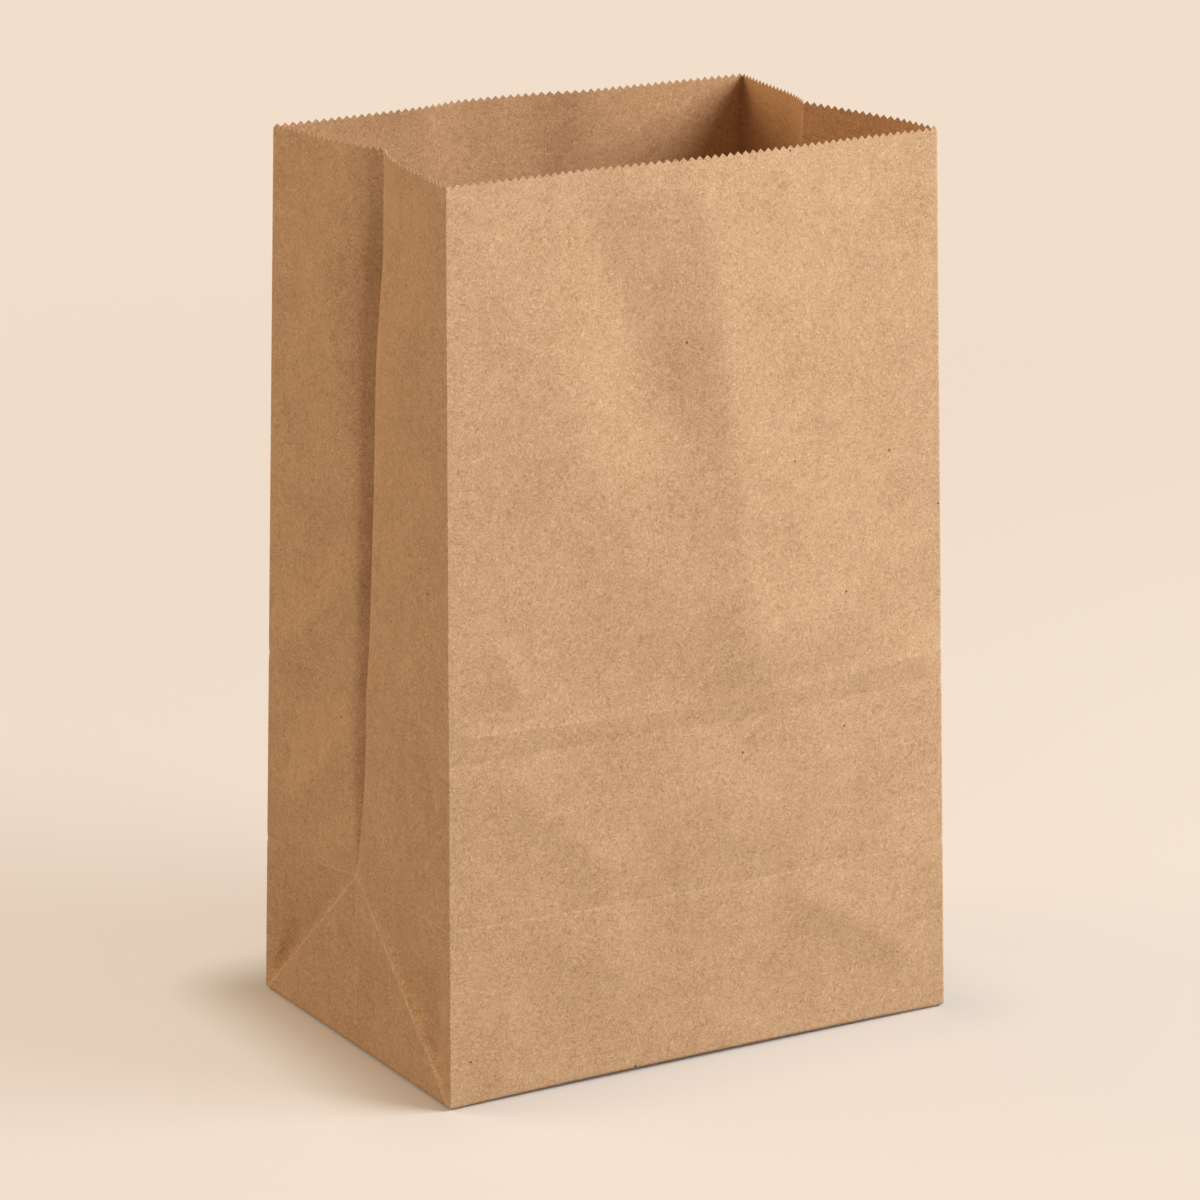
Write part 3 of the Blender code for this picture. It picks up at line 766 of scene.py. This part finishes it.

# %% [markdown]
# ## Kraft paper
#
# Unbleached kraft is a felt of short curled fibres, some light and some dark, over cloudy patches where the
# pulp lay thicker. Noise of several sizes makes the clouds and the fibres, a second noise bends the first
# so that the fibres curl, and a few dark specks of bark are dotted about. Folds and cut edges are rubbed,
# and show lighter: two attributes paint them. A third one paints shade inside the bag: it makes the colour
# there darker and browner, in place of the light that bounces from wall to wall.

# %% A small helper for shader nodes


class Nodes:
    """Adds nodes to a tree one after another, and links them by socket name."""

    def __init__(self, tree):
        self.tree = tree
        self.count = 0

    def new(self, kind):
        node = self.tree.nodes.new(kind)
        node.location = (220 * (self.count % 6), -260 * (self.count // 6))
        self.count += 1
        return node

    def add(self, kind, values=None, links=None, **settings):
        node = self.new(kind)
        for name, value in settings.items():
            setattr(node, name, value)
        for name, value in (values or {}).items():
            node.inputs[name].default_value = value
        for name, socket in (links or {}).items():
            self.tree.links.new(socket, node.inputs[name])
        return node

    def math(self, operation, first, second=0.5, third=0.5, clamp_it=False):
        node = self.new("ShaderNodeMath")
        node.operation = operation
        node.use_clamp = clamp_it
        for index, value in enumerate((first, second, third)):
            if isinstance(value, bpy.types.NodeSocket):
                self.tree.links.new(value, node.inputs[index])
            else:
                node.inputs[index].default_value = value
        return node.outputs[0]

    def vector(self, operation, first, second=(0.0, 0.0, 0.0)):
        return self.add("ShaderNodeVectorMath", {1: second}, {0: first}, operation=operation)

    def colours(self, factor, first, second, blend="MIX"):
        """Mixes two colours. Their sockets go by number, as a mix node has several named A and B."""
        node = self.add("ShaderNodeMix", None, {"Factor": factor}, data_type="RGBA", blend_type=blend)
        for index, colour in ((6, first), (7, second)):
            if isinstance(colour, bpy.types.NodeSocket):
                self.tree.links.new(colour, node.inputs[index])
            else:
                node.inputs[index].default_value = colour
        return node.outputs[2]

    def attribute(self, name):
        return self.add("ShaderNodeAttribute", attribute_name=name).outputs["Fac"]

    def smooth_range(self, value, start, end, last):
        """Nought up to the start, the last value from the end on, and a smooth step between them."""
        limits = {"From Min": start, "From Max": end, "To Min": 0.0, "To Max": last}
        node = self.add("ShaderNodeMapRange", limits, {"Value": value}, interpolation_type="SMOOTHSTEP")
        return node.outputs["Result"]

    def noise(self, vector, scale, detail=2.0, roughness=0.5, distortion=0.0):
        return self.add("ShaderNodeTexNoise",
                        {"Scale": scale, "Detail": detail, "Roughness": roughness, "Distortion": distortion},
                        {"Vector": vector}).outputs["Fac"]


# %% The fibre pattern as a node group


CLOUD_SCALES = (55.0, 260.0)
CURL_SCALES = (460.0, 560.0)
GRAIN_SCALE = 2000.0
THINNESS = 18.0
SPECK_SCALE = 62.0
SPECK_SHARE = 0.05
SPECK_RADIUS = 0.020


def curls(n, position, scale, bend):
    """Curled fibres are thin lines where a bent noise passes its middle value."""
    off = n.math("ABSOLUTE", n.math("SUBTRACT", n.noise(position, scale, 1.0, 0.5, bend), 0.5))
    return n.math("SUBTRACT", 1.0, n.math("MULTIPLY", off, THINNESS), clamp_it=True)


def fibre_group():
    """Puts out how light the paper's pattern is, around nought, and a fine height for its bump."""
    group = bpy.data.node_groups.new("kraft_fibres", "ShaderNodeTree")
    for name in ("Position", "Flat"):
        group.interface.new_socket(name=name, in_out="INPUT", socket_type="NodeSocketVector")
    for name in ("Clouds", "Fibres", "Specks", "Height"):
        group.interface.new_socket(name=name, in_out="OUTPUT", socket_type="NodeSocketFloat")
    n = Nodes(group)
    given = n.add("NodeGroupInput")
    position = given.outputs["Position"]
    big = n.noise(position, CLOUD_SCALES[0], 3.0, 0.55)
    small = n.noise(position, CLOUD_SCALES[1], 3.0, 0.6, 0.4)
    clouds = n.math("ADD", n.math("MULTIPLY_ADD", big, 0.8, -0.4), n.math("MULTIPLY_ADD", small, 0.7, -0.35))
    light_curls = curls(n, position, CURL_SCALES[0], 2.2)
    dark_curls = curls(n, position, CURL_SCALES[1], 1.8)
    grain = n.noise(position, GRAIN_SCALE, 2.0, 0.6)
    fibres = n.math("MULTIPLY", n.math("SUBTRACT", light_curls, dark_curls), 1.3)
    fibres = n.math("ADD", fibres, n.math("MULTIPLY_ADD", grain, 1.2, -0.6))
    cells = n.add("ShaderNodeTexVoronoi", {"Scale": SPECK_SCALE, "Randomness": 1.0},
                  {"Vector": given.outputs["Flat"]}, voronoi_dimensions="2D")
    draw = n.add("ShaderNodeSeparateColor", None, {"Color": cells.outputs["Color"]}).outputs[0]
    chosen = n.math("GREATER_THAN", draw, 1 - SPECK_SHARE)
    near = n.math("LESS_THAN", cells.outputs["Distance"], SPECK_RADIUS)
    out = n.add("NodeGroupOutput")
    for name, socket in (("Clouds", clouds), ("Fibres", fibres), ("Specks", n.math("MULTIPLY", chosen, near)),
                         ("Height", n.math("ADD", fibres, small))):
        group.links.new(socket, out.inputs[name])
    return group


fibres_of = fibre_group()
print("Fibre group nodes:", len(fibres_of.nodes))

# %% The paper's material
KRAFT_DARK = (0.40, 0.230, 0.117, 1.0)
KRAFT_LIGHT = (0.78, 0.540, 0.345, 1.0)
KRAFT_WORN = (0.86, 0.68, 0.50, 1.0)
KRAFT_SPECK = (0.17, 0.09, 0.045, 1.0)
# Painted shade: the inside of the bag is tinted darker and browner, in place of light bouncing between its
# walls
KRAFT_PAINTED_INSIDE_SHADE = (1.0, 0.90, 0.79, 1.0)
CLOUD_SHARE = 0.42
FIBRE_SHARE = 0.29
CUT_SHARE = 0.9


def kraft_material():
    material = bpy.data.materials.new("kraft_paper_fibres")
    material.use_nodes = True
    tree = material.node_tree
    tree.nodes.clear()
    n = Nodes(tree)
    place = n.add("ShaderNodeTexCoord").outputs["Object"]
    flat_place = n.add("ShaderNodeUVMap", uv_map="flat_sheet").outputs["UV"]
    pattern = n.add("ShaderNodeGroup", node_tree=fibres_of)
    tree.links.new(place, pattern.inputs["Position"])
    tree.links.new(flat_place, pattern.inputs["Flat"])
    fibres = pattern.outputs["Fibres"]
    light = n.math("ADD", n.math("MULTIPLY", pattern.outputs["Clouds"], CLOUD_SHARE), 0.5)
    light = n.math("ADD", light, n.math("MULTIPLY", fibres, FIBRE_SHARE), clamp_it=True)
    colour = n.colours(light, KRAFT_DARK, KRAFT_LIGHT)
    # Painted shade on the faces inside the bag
    colour = n.colours(n.attribute("painted_inside_shade"), colour, KRAFT_PAINTED_INSIDE_SHADE, "MULTIPLY")
    patchy = n.math("MULTIPLY_ADD", fibres, 0.25, 0.45)
    rubbed = n.math("MULTIPLY", n.attribute("worn"), patchy, clamp_it=True)
    rubbed = n.math("MAXIMUM", rubbed, n.math("MULTIPLY", n.attribute("cut_edge"), CUT_SHARE))
    colour = n.colours(rubbed, colour, KRAFT_WORN)
    colour = n.colours(pattern.outputs["Specks"], colour, KRAFT_SPECK)
    bump = n.add("ShaderNodeBump", {"Strength": 0.25, "Distance": 0.1 * MM},
                 {"Height": pattern.outputs["Height"]})
    rough = n.math("MULTIPLY_ADD", fibres, 0.05, 0.82, clamp_it=True)
    shader = n.add("ShaderNodeBsdfPrincipled", {"Metallic": 0.0, "IOR": 1.45, "Specular IOR Level": 0.25},
                   {"Base Color": colour, "Roughness": rough, "Normal": bump.outputs["Normal"]})
    out = n.add("ShaderNodeOutputMaterial")
    tree.links.new(shader.outputs["BSDF"], out.inputs["Surface"])
    return material


bag.data.materials.clear()
bag.data.materials.append(kraft_material())
print("Material:", bag.data.materials[0].name)

# %% [markdown]
# ## The floor and backdrop
#
# The bag stands on one sheet of pale beige card that sweeps up behind it, so the picture has no horizon. A
# lit card would grow darker away from the lamps, so the camera is shown the card's plain colour there. Near
# the bag it sees more of the lit card, with the bag's shadow, and where they touch only the lit card. Close
# to the bag that plain colour is also painted a little brighter, as painted light on the card.

# %% A swept backdrop
FLOOR_COLOUR = (0.80, 0.77, 0.74, 1.0)
BOUNCE_COLOUR = (0.32, 0.308, 0.296, 1.0)
PICTURE_COLOUR = (0.88, 0.735, 0.60, 1.0)
PICTURE_SHARE_NEAR = 0.64
PICTURE_SHARE_FAR = 1.0
# Painted light: near the bag the card's plain colour is shown this much brighter than far from it
NEAR_PAINTED_LIGHT = 1.07
CONTACT_START, CONTACT_END = -4 * MM, 32 * MM
FAR_START, FAR_END = 0.25, 1.1


def card_profile(near=-3.0, far=2.4, tall=4.0, bend=1.2):
    """The card's side view: how far along the floor, and how high."""
    curve = [math.radians(degrees) for degrees in range(6, 91, 6)]
    swept = [(far - bend + bend * math.sin(turn), bend * (1 - math.cos(turn))) for turn in curve]
    return [(near, 0.0), (far - bend, 0.0)] + swept + [(far, tall)]


def card_material():
    material = bpy.data.materials.new("backdrop_card")
    material.use_nodes = True
    tree = material.node_tree
    shader = tree.nodes["Principled BSDF"]
    n = Nodes(tree)
    place = n.add("ShaderNodeTexCoord").outputs["Object"]
    away = n.vector("LENGTH", place).outputs["Value"]
    gain = PICTURE_SHARE_FAR - PICTURE_SHARE_NEAR
    far_share = n.smooth_range(away, FAR_START, FAR_END, gain)
    # How far a place on the card lies outside the bag's footprint
    beyond = n.vector("SUBTRACT", n.vector("ABSOLUTE", place).outputs["Vector"], (WIDE / 2, HALF_GUSSET, 0.0))
    outside = n.vector("MAXIMUM", beyond.outputs["Vector"])
    clear = n.vector("LENGTH", outside.outputs["Vector"]).outputs["Value"]
    near_share = n.smooth_range(clear, CONTACT_START, CONTACT_END, PICTURE_SHARE_NEAR)
    camera_ray = n.add("ShaderNodeLightPath").outputs["Is Camera Ray"]
    seen = n.math("MULTIPLY", camera_ray, n.math("ADD", near_share, far_share))
    tree.links.new(n.colours(camera_ray, BOUNCE_COLOUR, FLOOR_COLOUR), shader.inputs["Base Color"])
    # The glow is stronger near the bag, which paints light on the card there
    strength = n.math("MULTIPLY_ADD", far_share, (1 - NEAR_PAINTED_LIGHT) / gain, NEAR_PAINTED_LIGHT)
    glow = n.add("ShaderNodeEmission", {"Color": PICTURE_COLOUR}, {"Strength": strength})
    mixed_shader = n.add("ShaderNodeMixShader", None, {"Fac": seen})
    tree.links.new(shader.outputs["BSDF"], mixed_shader.inputs[1])
    tree.links.new(glow.outputs["Emission"], mixed_shader.inputs[2])
    tree.links.new(mixed_shader.outputs["Shader"], tree.nodes["Material Output"].inputs["Surface"])
    shader.inputs["Roughness"].default_value = 0.9
    shader.inputs["Specular IOR Level"].default_value = 0.1
    return material


def swept_backdrop(half_width=4.0):
    """The card runs straight away from the camera, and is as wide as the picture needs."""
    bm = bmesh.new()
    forward = Vector((0.518, 0.855, 0))
    sideways = Vector((0.855, -0.518, 0))
    start = [forward * run - sideways * half_width + Vector((0, 0, rise)) for run, rise in card_profile()]
    verts = [bm.verts.new(point) for point in start]
    edges = [bm.edges.new(pair) for pair in zip(verts, verts[1:])]
    made = bmesh.ops.extrude_edge_only(bm, edges=edges)["geom"]
    moved = [item for item in made if isinstance(item, bmesh.types.BMVert)]
    bmesh.ops.translate(bm, verts=moved, vec=sideways * 2 * half_width)
    bmesh.ops.recalc_face_normals(bm, faces=bm.faces[:])
    for face in bm.faces:
        face.smooth = True
    mesh = bpy.data.meshes.new("backdrop")
    bm.to_mesh(mesh)
    bm.free()
    mesh.materials.append(card_material())
    card = bpy.data.objects.new("backdrop", mesh)
    bpy.context.scene.collection.objects.link(card)
    return card


backdrop = swept_backdrop()
print("Backdrop faces:", len(backdrop.data.polygons))

# %% [markdown]
# ## Light and camera
#
# A large soft lamp stands high at the front right, as the shadow at the bag's left tells. It grazes the front
# panel, and so brings out its folds. A warm lamp lights the gusset from behind on the left, and a small low
# one fills the front, below the mouth so that it leaves the inside dark. The room's warm light does the
# rest. The camera's place and lens were worked out from the bag's corners and creases in the photograph.

# %% Lights


def soft_lamp(name, direction, distance, size, power, colour=(1.0, 1.0, 1.0)):
    data = bpy.data.lights.new(name, "AREA")
    data.shape = "SQUARE"
    data.size = size
    data.energy = power
    data.color = colour
    lamp = bpy.data.objects.new(name, data)
    aim = Vector((0, 0, HEIGHT / 2))
    lamp.location = aim + Vector(direction).normalized() * distance
    lamp.rotation_euler = (aim - lamp.location).to_track_quat("-Z", "Y").to_euler()
    bpy.context.scene.collection.objects.link(lamp)
    return lamp


LAMP_DISTANCE = 1.5
soft_lamp("key", (0.67, -0.52, 0.58), LAMP_DISTANCE, 0.9, 23.2, (0.94, 0.98, 1.0))
soft_lamp("side", (-0.72, 0.55, 0.42), LAMP_DISTANCE, 0.9, 10.6, (1.0, 0.765, 0.54))
soft_lamp("low", (-0.17, -0.95, 0.0), LAMP_DISTANCE, 0.16, 4.6, (1.0, 0.80, 0.60))
world = bpy.data.worlds.new("room")
world.use_nodes = True
room = world.node_tree.nodes["Background"]
room.inputs["Color"].default_value = (1.0, 0.775, 0.55, 1.0)
room.inputs["Strength"].default_value = 0.36
bpy.context.scene.world = world
print("Lamps:", len(bpy.data.lights))

# %% Camera
CAMERA_YAW = math.radians(-31.216)
CAMERA_PITCH = math.radians(16.337)
CAMERA_ROLL = math.radians(1.026)
CAMERA_DISTANCE = 1141.35 * MM
CAMERA_LENS = 132.03
CAMERA_AIM = (-3.158 * MM, -6.806 * MM)

level = math.cos(CAMERA_PITCH)
back = Vector((math.sin(CAMERA_YAW) * level, -math.cos(CAMERA_YAW) * level, math.sin(CAMERA_PITCH)))
right = Vector((math.cos(CAMERA_YAW), math.sin(CAMERA_YAW), 0))
up = back.cross(right)
turn = Matrix.Rotation(CAMERA_ROLL, 3, back)
right, up = turn @ right, turn @ up
camera_data = bpy.data.cameras.new("camera")
camera_data.sensor_width = 36.0
camera_data.lens = CAMERA_LENS
camera_data.clip_end = 50.0
camera = bpy.data.objects.new("camera", camera_data)
spot = Vector((0, 0, HEIGHT / 2)) + right * CAMERA_AIM[0] + up * CAMERA_AIM[1] + back * CAMERA_DISTANCE
camera.matrix_world = Matrix.Translation(spot) @ Matrix((right, up, back)).transposed().to_4x4()
bpy.context.scene.collection.objects.link(camera)
bpy.context.scene.camera = camera
bpy.context.scene.view_settings.view_transform = "Standard"
print("The camera stands", round(spot.length, 3), "m away")
